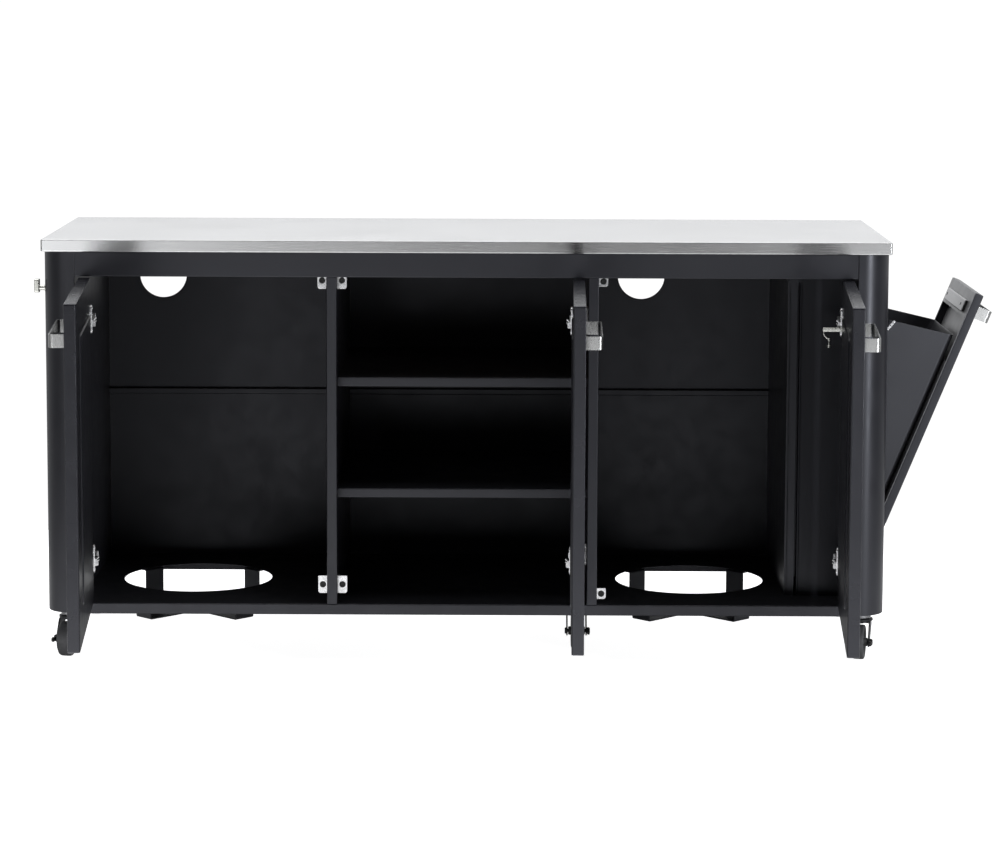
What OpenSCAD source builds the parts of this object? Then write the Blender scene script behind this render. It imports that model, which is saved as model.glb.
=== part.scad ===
// Outdoor kitchen unit: a long low cabinet of powder-coated sheet steel on
// six castors, with a stainless worktop, three inset doors, two gas-bottle
// wells in the floor and a tilt-out bin in the right side.
// Drawn as it stands in use for loading: the doors are open and the bin is
// tilted out. Millimetres, +Z up, front of the cabinet towards -Y.

/* [Worktop and cabinet] */
// Width of the worktop, left to right
top_w = 1800; // [1790:1:1820]
// Depth of the worktop, front to back
top_d = 600; // [598:1:604]
// Height of the worktop surface above the ground
top_z = 910; // [905:1:920]
// Height of the worktop's folded edge
top_h = 26; // [20:1:30]
// How far the worktop stands out past the doors
top_front = 11; // [8:1:15]
// Depth of the cabinet body
body_d = 588; // [586:1:590]
// Width of each double-walled side
side_w = 70; // [68:1:72]
// Radius of the rounded front corners
corner_r = 57; // [45:1:60]
// Thickness of the sheet steel
sheet = 1.5; // [1.2:0.1:2]

/* [Front opening] */
// Height of the floor surface
floor_z = 128; // [125:1:130]
// Height of the folded front edge of the floor
lip_h = 23.5; // [20:0.5:24]
// Height of the lower edge of the top rail
rail_z = 831; // [828:1:834]
// Underside of the posts
post_z = 106; // [105.5:0.1:106]
// Left divider, middle of its thickness
div1_x = -286; // [-290:1:-280]
// Right divider, middle of its thickness
div2_x = 270; // [265:1:275]
// Thickness of a divider
div_t = 22; // [20:1:23]

/* [Doors] */
// Thickness of a door
door_t = 25; // [24:1:26]
// Gap round a closed door
door_gap = 2.7; // [2:0.1:3.5]
// How far the left door stands open
left_open = 85.7; // [80:0.1:90]
// How far the middle door stands open
middle_open = 88.9; // [80:0.1:90]
// How far the right door stands open
right_open = 86.1; // [80:0.1:90]
// Length of a handle
grip_l = 270; // [240:1:280]
// Height of a handle strip
grip_h = 27; // [24:1:30]
// How far a handle stands off
grip_out = 34; // [30:1:36]

/* [Shelves and bottle wells] */
// Upper shelf surface
shelf1_z = 613; // [590:1:640]
// Lower shelf surface
shelf2_z = 372.5; // [350:0.5:400]
// Radius of a bottle well
well_r = 164; // [155:1:165]
// Left bottle well, centre
well1_x = -600; // [-605:1:-590]
// Right bottle well, centre
well2_x = 495; // [490:1:498]
// Height of the cradle on which a bottle stands
cradle_z = 60; // [55:1:66]

/* [Tilt-out bin] */
// How far the bin is tilted out
bin_open = 22.1; // [18:0.1:24]
// Front edge of the bin panel
bin_y0 = 118; // [116:1:120]
// Width of the bin panel
bin_w = 352; // [350:1:354]
// Lower edge of the bin panel
bin_z0 = 250; // [248:1:252]
// Upper edge of the bin panel
bin_z1 = 830; // [820:1:831]
// How far its handle stands off
bin_out = 38.5; // [34:0.5:40]

/* [Castors] */
// Wheel diameter
wheel_d = 75; // [72:1:76]
// Wheel width
wheel_w = 25; // [24:1:26]
// Trail of the wheel beside its swivel
trail = 28; // [25:1:30]

/* [Hidden] */
$fn = 64;
e = 0.01;
hw = top_w / 2;
xi = hw - side_w;                 // inner face of a side
body_z = top_z - top_h;           // top of the body
lip_z = floor_z - lip_h;
d1l = div1_x - div_t / 2;
d1r = div1_x + div_t / 2;
d2l = div2_x - div_t / 2;
d2r = div2_x + div_t / 2;
back_y = body_d - sheet;
rail_d = 30;
hole_r = 54;                      // hose holes in the back
hole_z = 780;
hole1_x = -703.5;
hole2_x = 395;
well_y = 296;
seam_z = 503;                     // joggle between the back panels
door_zb = floor_z + door_gap;
door_zt = rail_z - door_gap;
pivot_in = 8;                     // door pivot, in from the opening's edge
hinge_z = [742, 228];
cup_x = 17.2;
grip_top = 762;
px_l = -xi + pivot_in;
px_m = d2l - pivot_in;
px_r = xi - pivot_in;
dw_l = d1l + xi - 2 * door_gap;
dw_m = d2l - d1r - 2 * door_gap;
dw_r = xi - d2r - 2 * door_gap;
// bin
bp_x = hw - 10;
bp_z = bin_z0 + 10;
bin_y1 = bin_y0 + bin_w;
bo_y0 = bin_y0 - 3;
bo_y1 = bin_y1 + 3;
bo_z0 = bin_z0 - 5;
bo_z1 = bin_z1 + 3;
bin_front_y = 111;
part_x = 691;
part_z = 824;                     // top of the bin's partition and cover
// castors: the two front corners, the middle one further back, three at the rear
cast_x = 857;
cast_y0 = 88;
cast_y1 = 540;
cast_mx = 242;
cast_my = 193;
plate_z = post_z;
// reference point: middle of the ground box round the cabinet as it stands
// open, from the hook on the left to the tilted bin's handle, and from the
// right door's free edge to the back of the worktop
bin_grip_z = 803;
ox = (bp_x + (hw + bin_out - bp_x) * cos(bin_open) + (bin_grip_z - bp_z) * sin(bin_open) - hw - 23.5) / 2;
oy = (top_d - top_front - (dw_r - pivot_in + door_gap) * sin(right_open)) / 2;

module P() translate([-ox, -oy, 0]) children();
module bx(a, b) translate(a) cube(b - a);
module rr(w, h, r) {
  translate([r, 0]) square([w - 2 * r, h]);
  translate([0, r]) square([w, h - 2 * r]);
  for (x = [r, w - r], y = [r, h - r]) translate([x, y]) circle(r = r);
}
// cylinders along X and Y
module cx(r, h) rotate([0, 90, 0]) cylinder(r = r, h = h);
module cy(r, h) rotate([-90, 0, 0]) cylinder(r = r, h = h);

// ---------- worktop ----------
module worktop_skin() color([0.86, 0.87, 0.88]) P() difference() {
  bx([-hw, -top_front, body_z], [hw, top_d - top_front, top_z]);
  bx([-hw + sheet, -top_front + sheet, body_z + sheet],
     [hw - sheet, top_d - top_front - sheet, top_z - sheet]);
  bx([-hw + 16, -top_front + 16, body_z - 1],
     [hw - 16, top_d - top_front - 16, body_z + 5]);
}
module worktop_core() color([0.32, 0.26, 0.2]) P()
  bx([-hw + sheet + 0.1, -top_front + sheet + 0.1, body_z + sheet],
     [hw - sheet - 0.1, top_d - top_front - sheet - 0.1, top_z - sheet]);

// ---------- sides ----------
// outline of the right-hand side in plan, shrunk by t
module side_plan(t) {
  r = corner_r - t;
  cxx = hw - corner_r;
  translate([xi, corner_r]) square([side_w - t, body_d - corner_r - t]);
  translate([xi, t]) square([cxx - xi, corner_r - t]);
  intersection() {
    translate([cxx, corner_r]) circle(r = r, $fn = 96);
    translate([cxx, 0]) square([corner_r, corner_r]);
  }
}
module side_tube() {
  translate([0, 0, post_z]) linear_extrude(body_z - post_z) difference() {
    side_plan(0);
    side_plan(sheet);
  }
  translate([0, 0, post_z]) linear_extrude(2) side_plan(0);
}
module left_side_shell() color([0.12, 0.12, 0.13]) P() mirror([1, 0, 0]) side_tube();
module left_side_liner() color([0.1, 0.1, 0.11]) P() mirror([1, 0, 0])
  bx([xi, sheet, post_z + 2], [xi + sheet, body_d - sheet, body_z]);
module right_side_shell() color([0.12, 0.12, 0.13]) P() difference() {
  union() {
    difference() {
      side_tube();
      bx([hw - 10, bo_y0, bo_z0], [hw + 5, bo_y1, bo_z1]);
    }
    difference() {
      bx([hw - 24, bo_y0 - sheet, bo_z0 - sheet], [hw, bo_y1 + sheet, bo_z1 + sheet]);
      bx([hw - 30, bo_y0, bo_z0], [hw + 5, bo_y1, bo_z1]);
    }
  }
  translate([bp_x, bo_y0 - 5, bp_z]) cy(4.05, bin_w + 20);
}
module right_side_liner() color([0.1, 0.1, 0.11]) P() difference() {
  bx([xi, sheet, post_z + 2], [xi + sheet, body_d - sheet, body_z]);
  bx([xi - 1, bo_y0, bo_z0], [xi + 5, bo_y1, bo_z1]);
}

// ---------- rails, floor, back ----------
module rail(y0, y1, z0, z1, face_front) {
  fy = face_front ? y0 : y1 - sheet;
  bx([-xi, fy, z0], [xi, fy + sheet, z1]);
  bx([-xi, y0, z0], [xi, y1, z0 + sheet]);
  bx([-xi, y0, z1 - sheet], [xi, y1, z1]);
}
module top_front_rail() color([0.13, 0.13, 0.14]) P() rail(0, rail_d, rail_z, body_z, true);
module top_rear_rail() color([0.1, 0.1, 0.11]) P()
  rail(back_y - rail_d, back_y, body_z - 40, body_z, false);

module floor_pan() color([0.11, 0.11, 0.12]) P() difference() {
  union() {
    bx([-xi, 0, floor_z - sheet], [xi, back_y, floor_z]);
    bx([-xi, 0, lip_z], [xi, sheet, floor_z]);
    bx([-xi, 0, lip_z], [xi, 18, lip_z + sheet]);
    bx([-xi, back_y - sheet, post_z], [xi, back_y, floor_z]);
    bx([-xi, 0, post_z], [-xi + sheet, back_y, floor_z]);
    bx([xi - sheet, 0, post_z], [xi, back_y, floor_z]);
  }
  for (x = [well1_x, well2_x]) {
    translate([x, well_y, floor_z - 5]) cylinder(r = well_r, h = 10, $fn = 128);
    for (a = [45:90:315]) translate([x, well_y, floor_z - 5]) rotate([0, 0, a])
      translate([180, 0, 0]) cylinder(r = 2.6, h = 10);
  }
}
module under_rails() color([0.1, 0.1, 0.11]) P() {
  // carrier of the middle castors, front to back
  difference() {
    bx([cast_mx - 36, 19, post_z], [cast_mx + 36, back_y - sheet - 1, floor_z - sheet]);
    bx([cast_mx - 34, 18, post_z + 2], [cast_mx + 34, back_y, floor_z - sheet - 2]);
  }
  // stiffeners behind the bottle wells
  for (p = [[-xi + sheet + 0.2, cast_mx - 36.2], [cast_mx + 36.2, xi - sheet - 0.2]])
    difference() {
      bx([p[0], 498, post_z], [p[1], 520, floor_z - sheet]);
      bx([p[0] - 1, 500, post_z + 2], [p[1] + 1, 518, floor_z - sheet + 1]);
    }
}
// a divider is one sheet folded into a narrow U that opens at the back
module divider(x) difference() {
  bx([x - div_t / 2, 0, floor_z], [x + div_t / 2, back_y, body_z]);
  bx([x - div_t / 2 + sheet, sheet, floor_z - 1], [x + div_t / 2 - sheet, back_y + 1, body_z + 1]);
  bx([x - div_t, -1, rail_z], [x + div_t, rail_d, body_z + 1]);
  bx([x - div_t, back_y - rail_d, body_z - 40], [x + div_t, back_y + 1, body_z + 1]);
}
module left_divider() color([0.16, 0.16, 0.17]) P() divider(div1_x);
module right_divider() color([0.16, 0.16, 0.17]) P() divider(div2_x);

// the upper back is three sheets that meet behind the dividers
module back_panel_upper() color([0.07, 0.07, 0.08]) P() difference() {
  for (p = [[-xi, div1_x - 0.1], [div1_x + 0.1, div2_x - 0.1], [div2_x + 0.1, xi]])
    bx([p[0], back_y, seam_z + 14], [p[1], body_d, body_z]);
  for (x = [hole1_x, hole2_x]) translate([x, back_y - 5, hole_z]) cy(hole_r, 12);
}
// the lower panel's top edge is folded into a small ledge
module back_panel_lower() color([0.07, 0.07, 0.08]) P() {
  bx([-xi, back_y, post_z], [xi, body_d, seam_z + 14]);
  for (p = [[-xi, d1l], [d1r, d2l], [d2r, part_x - 0.2]])
    difference() {
      bx([p[0] + 0.3, back_y - 10, seam_z], [p[1] - 0.3, back_y, seam_z + 14]);
      bx([p[0] - 1, back_y - 10 + sheet, seam_z + sheet], [p[1] + 1, back_y, seam_z + 14 - sheet]);
    }
}
module shelf(z) difference() {
  bx([d1r + 0.3, 40, z - 20], [d2l - 0.3, back_y - 12, z]);
  bx([d1r - 1, 40 + sheet, z - 21], [d2l + 1, back_y - 12 - sheet, z - sheet]);
}
module shelves() color([0.13, 0.13, 0.14]) P() {
  shelf(shelf1_z);
  shelf(shelf2_z);
}
module shelf_pins() color([0.7, 0.7, 0.72]) P()
  for (z = [shelf1_z, shelf2_z], y = [90, 500]) {
    translate([d1r, y, z - sheet - 3.05]) cx(3, 10);
    translate([d2l - 10, y, z - sheet - 3.05]) cx(3, 10);
  }

// ---------- bin compartment ----------
module bin_partition() color([0.12, 0.12, 0.13]) P() {
  bx([part_x, bin_front_y, floor_z], [part_x + sheet, back_y, part_z]);
  bx([part_x, bin_front_y, floor_z], [part_x + 21, bin_front_y + sheet, part_z]);
}
module bin_front_cover() color([0.11, 0.11, 0.12]) P() {
  bx([part_x + 25, bin_front_y, floor_z], [xi, bin_front_y + sheet, part_z]);
  bx([part_x + 25, bin_front_y, floor_z], [part_x + 25 + sheet, bin_front_y + 16, part_z]);
  // tongue screwed behind the partition's front fold
  bx([part_x + 8, bin_front_y + 14.5, floor_z + 40], [part_x + 25 + sheet, bin_front_y + 16, part_z - 20]);
}

// ---------- bottle cradles: two crossed straps under each well ----------
module cradle() for (a = [45, 135]) rotate([0, 0, a]) {
  bx([-161, -25, cradle_z - 3], [161, 25, cradle_z]);
  for (s = [0, 1]) mirror([s, 0, 0]) {
    bx([158, -25, cradle_z - 3], [161, 25, floor_z - sheet]);
    difference() {
      bx([158, -25, floor_z - sheet - 3], [192, 25, floor_z - sheet]);
      translate([180, 0, floor_z - 20]) cylinder(r = 2.6, h = 40);
    }
  }
}
module bottle_cradles() color([0.06, 0.06, 0.07]) P()
  for (x = [well1_x, well2_x]) translate([x, well_y, 0]) cradle();
module cradle_screws() color([0.6, 0.6, 0.62]) P()
  for (x = [well1_x, well2_x], a = [45:90:315]) translate([x, well_y, 0]) rotate([0, 0, a])
    translate([180, 0, 0]) {
      translate([0, 0, floor_z - 10]) cylinder(r = 2.5, h = 10);
      translate([0, 0, floor_z - sheet - 3 - 4]) cylinder(r = 4.2, h = 4, $fn = 6);
    }

// ---------- castor plates, catches, fixed hinge parts ----------
// swivel angle: 0 trails to the back and 180 to the front
function cast_xy(i) = [[-cast_x, cast_y0], [cast_mx, cast_my], [cast_x, cast_y0],
                       [-cast_x, cast_y1], [cast_mx, cast_y1], [cast_x, cast_y1]][i];
cast_rot = [168, 180, 168, 180, 180, 180];
module castor_plates() color([0.1, 0.1, 0.1]) P() for (i = [0:5])
  translate([cast_xy(i)[0], cast_xy(i)[1], 0]) {
    translate([-29, -29, plate_z - 3]) linear_extrude(3) difference() {
      rr(58, 58, 6);
      for (x = [8, 50], y = [8, 50]) translate([x, y]) circle(r = 3);
    }
    translate([0, 0, plate_z - 20]) cylinder(r = 22, h = 17 + e);
    translate([0, 0, plate_z - 33]) cylinder(r = 5, h = 14);
    translate([0, 0, plate_z - 33]) cylinder(r = 8, h = 2.6);
  }
// z0 and z1 are the plate's ends, seen from the magnet's height
module catch(z0, z1) {
  difference() {
    bx([0, 27, z0], [20, 28.5, z1]);
    translate([10, 20, 0]) cy(6.6, 20);
  }
  bx([0, 27, z0], [1.5, 60, z1]);
}
// x, mirrored, height of the magnet, ends of the plate
catch_at = [[d1l, 1, 822, -18, 8.4], [d1r, 0, 822, -18, 8.4],
            [d1l, 1, 165.5, -19, 19], [d1r, 0, 165.5, -19, 19],
            [d2r, 0, 822, -11, 8.4], [d2r, 0, 147.5, -12, 12]];
module catch_brackets() color([0.85, 0.85, 0.86]) P()
  for (c = catch_at) translate([c[0], 0, c[2]]) mirror([c[1], 0, 0]) catch(c[3], c[4]);
module catch_magnets() color([0.05, 0.05, 0.05]) P()
  for (c = catch_at) translate([c[0], 0, c[2]]) mirror([c[1], 0, 0])
    translate([10, 25.4, 0]) cy(6.5, 10);
// arm from the side to the hinge cup; sx = +1 when the side is on the left
module hinge_arm() {
  for (z = hinge_z) translate([0, 0, z]) {
    bx([0, 46, -24], [2.5, 62, 24]);
    bx([0, 39.5, -9], [2.6, 84, 9]);
    bx([2.5, 39.5, -8], [11, 80, 8]);
    bx([10.9, 39.5, -6], [40, 49, 6]);
  }
}
module hinge_arms() color([0.8, 0.8, 0.82]) P() {
  translate([-xi, 0, 0]) hinge_arm();
  translate([d2l, 0, 0]) mirror([1, 0, 0]) hinge_arm();
  translate([xi, 0, 0]) mirror([1, 0, 0]) hinge_arm();
}
module side_hook() color([0.75, 0.75, 0.76]) P() {
  translate([-hw - 13, 62, 800.5]) cx(5.5, 13 + 0);
  translate([-hw - 23.5, 52, 790.5]) rotate([90, 0, 90]) linear_extrude(10.5) rr(20, 29, 4);
}

// ---------- doors, drawn closed and then swung ----------
module on_left(a) translate([px_l, 0, 0]) rotate([0, 0, -a]) children();
module on_right(x, a) translate([x, 0, 0]) rotate([0, 0, a]) mirror([1, 0, 0]) children();
edge_in = pivot_in - door_gap;
module door_skin(w) translate([-edge_in, 0, 0]) difference() {
  bx([0, 0, door_zb], [w, door_t, door_zt]);
  bx([sheet, sheet, door_zb + sheet], [w - sheet, door_t + 1, door_zt - sheet]);
}
module door_liner(w) translate([-edge_in, 0, 0]) difference() {
  union() {
    bx([sheet + 0.1, door_t - sheet, door_zb + sheet + 0.1],
       [w - sheet - 0.1, door_t, door_zt - sheet - 0.1]);
    bx([66, door_t - sheet, door_zb + 74], [w - 113, door_t + 3, door_zt - 74]);
  }
  bx([66 + sheet, door_t - sheet - 1, door_zb + 74 + sheet],
     [w - 113 - sheet, door_t + 3 - sheet, door_zt - 74 - sheet]);
  for (z = hinge_z) translate([cup_x + edge_in, 0, z]) cy(17.5, 60);
}
module strip_handle(out = grip_out) linear_extrude(grip_h) difference() {
  union() {
    translate([0, -out]) rr(grip_l, out - 2, 9);
    translate([0, -12]) square([grip_l, 12]);
  }
  translate([3, -out + 3]) rr(grip_l - 6, out - 6, 6);
  translate([3, -14]) square([grip_l - 6, 20]);
}
module door_handle(w) translate([w - edge_in - 54 - grip_l, 0, grip_top - grip_h]) strip_handle();
module door_hinges() for (z = hinge_z) translate([cup_x, 0, z]) {
  difference() {
    translate([0, door_t - 12, 0]) cy(17.4, 12 + e);
    translate([0, door_t - 10.8, 0]) cy(16, 14);
  }
  difference() {
    bx([-10, door_t, -30.5], [10, door_t + 4.5, 30.5]);
    for (s = [-1, 1]) translate([0, 20, s * 24]) cy(2, 12);
  }
  bx([-10, door_t - 11, -13.9], [-7, door_t + 1, 0]);
  bx([-10, door_t + 1, -16], [6, door_t + 11.5, 0]);
}
module left_door_skin() color([0.14, 0.14, 0.15]) P() on_left(left_open) door_skin(dw_l);
module left_door_liner() color([0.14, 0.14, 0.15]) P() on_left(left_open) door_liner(dw_l);
module left_door_handle() color([0.8, 0.8, 0.8]) P() on_left(left_open) door_handle(dw_l);
module left_door_hinges() color([0.8, 0.8, 0.82]) P() on_left(left_open) door_hinges();
module middle_door_skin() color([0.14, 0.14, 0.15]) P() on_right(px_m, middle_open) door_skin(dw_m);
module middle_door_liner() color([0.14, 0.14, 0.15]) P() on_right(px_m, middle_open) door_liner(dw_m);
module middle_door_handle() color([0.8, 0.8, 0.8]) P() on_right(px_m, middle_open) door_handle(dw_m);
module middle_door_hinges() color([0.8, 0.8, 0.82]) P() on_right(px_m, middle_open) door_hinges();
module right_door_skin() color([0.14, 0.14, 0.15]) P() on_right(px_r, right_open) door_skin(dw_r);
module right_door_liner() color([0.14, 0.14, 0.15]) P() on_right(px_r, right_open) door_liner(dw_r);
module right_door_handle() color([0.8, 0.8, 0.8]) P() on_right(px_r, right_open) door_handle(dw_r);
module right_door_hinges() color([0.8, 0.8, 0.82]) P() on_right(px_r, right_open) door_hinges();
// small bracket and wire hook on the inside of the right door
module right_door_hook() color([0.85, 0.85, 0.84]) P() on_right(px_r, right_open)
  translate([38, door_t, 9.5]) {
    bx([-8, 0, 700], [8, 2, 728]);
    bx([-4.5, 1.9, 714], [4.5, 42, 723]);
    translate([0, 39.6, 706.4]) cylinder(r = 1.5, h = 8);
    translate([0, 39.6, 706.6]) rotate([-50, 0, 0]) translate([0, 0, -14.4]) cylinder(r = 1.5, h = 14.4);
    translate([0, 28.8, 697.6]) sphere(r = 3.2, $fn = 24);
    translate([0, 28.8, 684]) cylinder(r = 1.5, h = 13);
    translate([0, 28.8, 682.6]) sphere(r = 3.6, $fn = 24);
  }

// ---------- tilt-out bin, drawn shut and then tilted ----------
module tilted() translate([bp_x, 0, bp_z]) rotate([0, bin_open, 0]) translate([-bp_x, 0, -bp_z]) children();
module bin_panel_skin() color([0.16, 0.16, 0.17]) P() tilted() difference() {
  bx([hw - 20, bin_y0, bin_z0], [hw, bin_y1, bin_z1]);
  bx([hw - 21, bin_y0 + sheet, bin_z0 + sheet], [hw - sheet, bin_y1 - sheet, bin_z1 - sheet]);
  translate([bp_x, bin_y0 - 5, bp_z]) cy(4.06, bin_w + 10);
}
module bin_panel_liner() color([0.3, 0.3, 0.31]) P() tilted() difference() {
  union() {
    bx([hw - 20, bin_y0 + sheet + 0.1, bin_z0 + sheet + 0.1],
       [hw - 20 + sheet, bin_y1 - sheet - 0.1, bin_z1 - sheet - 0.1]);
    // bearing blocks for the pivot pins
    for (y = [bin_y0 + sheet + 0.1, bin_y1 - sheet - 0.1 - 10])
      bx([hw - 19, y, bin_z0 + sheet + 0.1], [hw - sheet - 0.1, y + 10, bin_z0 + 20]);
  }
  // between the tub's rim and the top band the panel's tray stays open
  bx([hw - 21, bin_y0 + 3.5, 668], [hw - 18, bin_y1 - 3.5, 771.5]);
  translate([bp_x, bin_y0 - 5, bp_z]) cy(4.06, bin_w + 10);
}
tub_y0 = 140;
tub_y1 = 448;
tub_x0 = 730;
tub_x1 = hw - 22;
tub_z0 = 278;
module tub_plan(t) translate([tub_x0 + t, tub_y0 + t])
  rr(tub_x1 - tub_x0 - 2 * t, tub_y1 - tub_y0 - 2 * t, 12 - t);
// the tub's rim drops towards the inside of the cabinet
module rim_cut() translate([tub_x0 - 20, tub_y0 - 10, 699.9]) rotate([0, -8.9, 0])
  cube([200, 340, 60]);
module bin_tub() color([0.26, 0.26, 0.27]) P() tilted() {
  difference() {
    translate([0, 0, tub_z0]) linear_extrude(450) difference() {
      tub_plan(0);
      tub_plan(sheet);
    }
    rim_cut();
  }
  translate([0, 0, tub_z0]) linear_extrude(sheet) tub_plan(0);
  // strips that hold the tub on the panel
  for (z = [310, 640]) bx([tub_x1 - e, 200, z], [hw - 20, 388, z + 24]);
}
module bin_handle() color([0.8, 0.8, 0.8]) P() tilted()
  translate([hw, bin_y0 + (bin_w - grip_l) / 2, bin_grip_z - grip_h]) rotate([0, 0, 90]) strip_handle(bin_out);
module bin_catch_channel() color([0.5, 0.5, 0.5]) P() tilted() {
  difference() {
    bx([hw - 27.5, 155, 779], [hw - 20, 418, 807]);
    bx([hw - 27.5 + sheet, 154, 779 + sheet], [hw - 19, 419, 807 - sheet]);
    for (y = [193, 405]) translate([hw - 30, y, 793]) cx(3, 8);
  }
}
module bin_stay() color([0.8, 0.8, 0.82]) P() tilted()
  translate([742.5, tub_y0, 694]) rotate([90, 17, 0]) linear_extrude(2) difference() {
    translate([-2.6, -13]) rr(5.2, 26, 2.5);
    for (y = [-8, 0, 8]) translate([0, y]) circle(r = 1.1);
  }
module bin_pivot_pins() color([0.7, 0.7, 0.72]) P() for (s = [0, 1])
  translate([bp_x, s == 0 ? bo_y0 - sheet : bo_y1 + sheet, bp_z]) mirror([0, s, 0]) {
    cy(4, 16);
    translate([0, -2, 0]) cy(7, 2);
  }

// ---------- castors ----------
axle_z = wheel_d / 2;
// the middle and right front castors have the brake on their other side
module at_castor(i) translate([cast_xy(i)[0], cast_xy(i)[1], 0]) rotate([0, 0, cast_rot[i]])
  mirror([i == 1 || i == 2 ? 1 : 0, 0, 0]) children();
module leg_shape() {
  polygon([[-18, 80], [18, 80], [trail + 10.4, axle_z + 3], [trail + 4, axle_z - 10.2],
           [trail - 9.5, axle_z - 5.2], [-18, 72]]);
  translate([trail, axle_z]) circle(r = 11);
}
module fork(i) color([0.08, 0.08, 0.08]) P() at_castor(i) {
  difference() {
    union() {
      translate([0, 0, 79.9]) cylinder(r = 26.5, h = 5.7);
      translate([-22.5, -18, 76.5]) cube([45, 36, 3.5]);
    }
    translate([0, 0, 60]) cylinder(r = 5.06, h = 60);
  }
  for (s = [-1, 1]) translate([s * 21 - 1.5, 0, 0])
    rotate([90, 0, 90]) linear_extrude(3) leg_shape();
  // axle bolt with its head and nut
  translate([-24, trail, axle_z]) cx(4, i > 2 ? 51 : 53.5);
  translate([-26, trail, axle_z]) cx(7, 3.6);
  if (i > 2) translate([22.4, trail, axle_z]) cx(6.5, 4.6);
  else translate([28.3, trail, axle_z]) cx(6.5, 1.2);
}
module wheel(i) color([0.3, 0.3, 0.31]) P() at_castor(i)
  translate([-wheel_w / 2, trail, axle_z]) rotate([0, 90, 0]) difference() {
    rotate_extrude($fn = 96) difference() {
      translate([4.06, 0]) {
        translate([0, 3]) square([wheel_d / 2 - 4.06, wheel_w - 6]);
        square([wheel_d / 2 - 4.06 - 3, wheel_w]);
        for (y = [3, wheel_w - 3]) translate([wheel_d / 2 - 4.06 - 3, y]) circle(r = 3);
        translate([0, -6]) square([8, wheel_w + 12]);
      }
      translate([15, -1]) square([13, 5]);
      translate([15, wheel_w - 4]) square([13, 5]);
    }
  }
module brake_lever(i) color([0.06, 0.06, 0.06]) P() at_castor(i)
  translate([0, trail, axle_z]) difference() {
    union() {
      translate([22.8, 0, 0]) cx(7.5, 5.2);
      bx([22.8, 0, -5], [25.8, 24, 5]);
      bx([22.8, 12, -5], [28.5, 24, 5]);
    }
    translate([15, 0, 0]) cx(4.06, 20);
  }

worktop_skin();
worktop_core();
left_side_shell();
left_side_liner();
right_side_shell();
right_side_liner();
top_front_rail();
top_rear_rail();
floor_pan();
under_rails();
left_divider();
right_divider();
back_panel_upper();
back_panel_lower();
shelves();
shelf_pins();
bin_partition();
bin_front_cover();
bottle_cradles();
cradle_screws();
castor_plates();
catch_brackets();
catch_magnets();
hinge_arms();
side_hook();
bin_pivot_pins();
left_door_skin();
left_door_liner();
left_door_handle();
left_door_hinges();
middle_door_skin();
middle_door_liner();
middle_door_handle();
middle_door_hinges();
right_door_skin();
right_door_liner();
right_door_handle();
right_door_hinges();
right_door_hook();
bin_panel_skin();
bin_panel_liner();
bin_tub();
bin_handle();
bin_catch_channel();
bin_stay();
fork(0);  // fork_front_left
fork(1);  // fork_front_middle
fork(2);  // fork_front_right
fork(3);  // fork_rear_left
fork(4);  // fork_rear_middle
fork(5);  // fork_rear_right
wheel(0);  // wheel_front_left
wheel(1);  // wheel_front_middle
wheel(2);  // wheel_front_right
wheel(3);  // wheel_rear_left
wheel(4);  // wheel_rear_middle
wheel(5);  // wheel_rear_right
brake_lever(0);  // brake_lever_left
brake_lever(1);  // brake_lever_middle
brake_lever(2);  // brake_lever_right
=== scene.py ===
import math

import bmesh
import bpy
from mathutils import Matrix, Vector


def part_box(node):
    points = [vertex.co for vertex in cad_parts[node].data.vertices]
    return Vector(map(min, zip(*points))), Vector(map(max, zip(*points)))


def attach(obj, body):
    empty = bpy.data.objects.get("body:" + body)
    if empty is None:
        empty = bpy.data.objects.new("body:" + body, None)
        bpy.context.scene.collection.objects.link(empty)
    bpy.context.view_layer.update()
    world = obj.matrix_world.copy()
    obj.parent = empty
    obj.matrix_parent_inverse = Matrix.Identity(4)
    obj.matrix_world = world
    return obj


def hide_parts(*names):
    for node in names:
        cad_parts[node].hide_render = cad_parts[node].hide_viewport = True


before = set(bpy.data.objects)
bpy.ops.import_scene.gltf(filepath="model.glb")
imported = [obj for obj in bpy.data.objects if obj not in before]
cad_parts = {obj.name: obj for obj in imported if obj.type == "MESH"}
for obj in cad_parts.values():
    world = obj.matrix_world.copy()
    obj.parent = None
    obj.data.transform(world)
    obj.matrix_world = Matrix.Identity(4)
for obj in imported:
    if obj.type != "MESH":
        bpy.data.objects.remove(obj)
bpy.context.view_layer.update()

# ---------------------------------------------------------------- dimensions
# millimetres, measured from the middle of the cabinet's front at ground level
_lo, _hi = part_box("worktop_skin")
OX = -(_lo.x + _hi.x) / 2 * 1000
OY = 589 - _hi.y * 1000
HW, TOP, BODY = 900.0, 910.0, 884.0
XI, BACK = 830.0, 586.5
FLOOR, LIP, RAIL, POST = 128.0, 104.5, 831.0, 106.0
D1L, D1R, D2L, D2R = -297.0, -275.0, 259.0, 281.0
PART = 691.0
SH1, SH2 = 613.0, 372.5
SEAM, PTOP = 503.0, 824.0
ZB, ZT = 130.7, 828.3
DT = 25.0
PXL, PXM, PXR = -822.0, 251.0, 822.0
DWL, DWM, DWR = 527.6, 528.6, 543.6
EDGE = 5.3
HZ = (742.0, 228.0)
BX, BZ = 890.0, 260.0
BY0, BY1, BZ0, BZ1 = 118.0, 470.0, 250.0, 830.0
WELLS = (-600.0, 495.0)
WY, WR = 296.0, 164.0
HOLES = (-703.5, 395.0)
HOZ, HOR = 780.0, 54.0
CAST = {
    "front_left": (-857, 88, 168, 1), "front_middle": (242, 193, 180, -1), "front_right": (857, 88, 168, -1),
    "rear_left": (-857, 540, 180, 1), "rear_middle": (242, 540, 180, 1), "rear_right": (857, 540, 180, 1),
}


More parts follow.
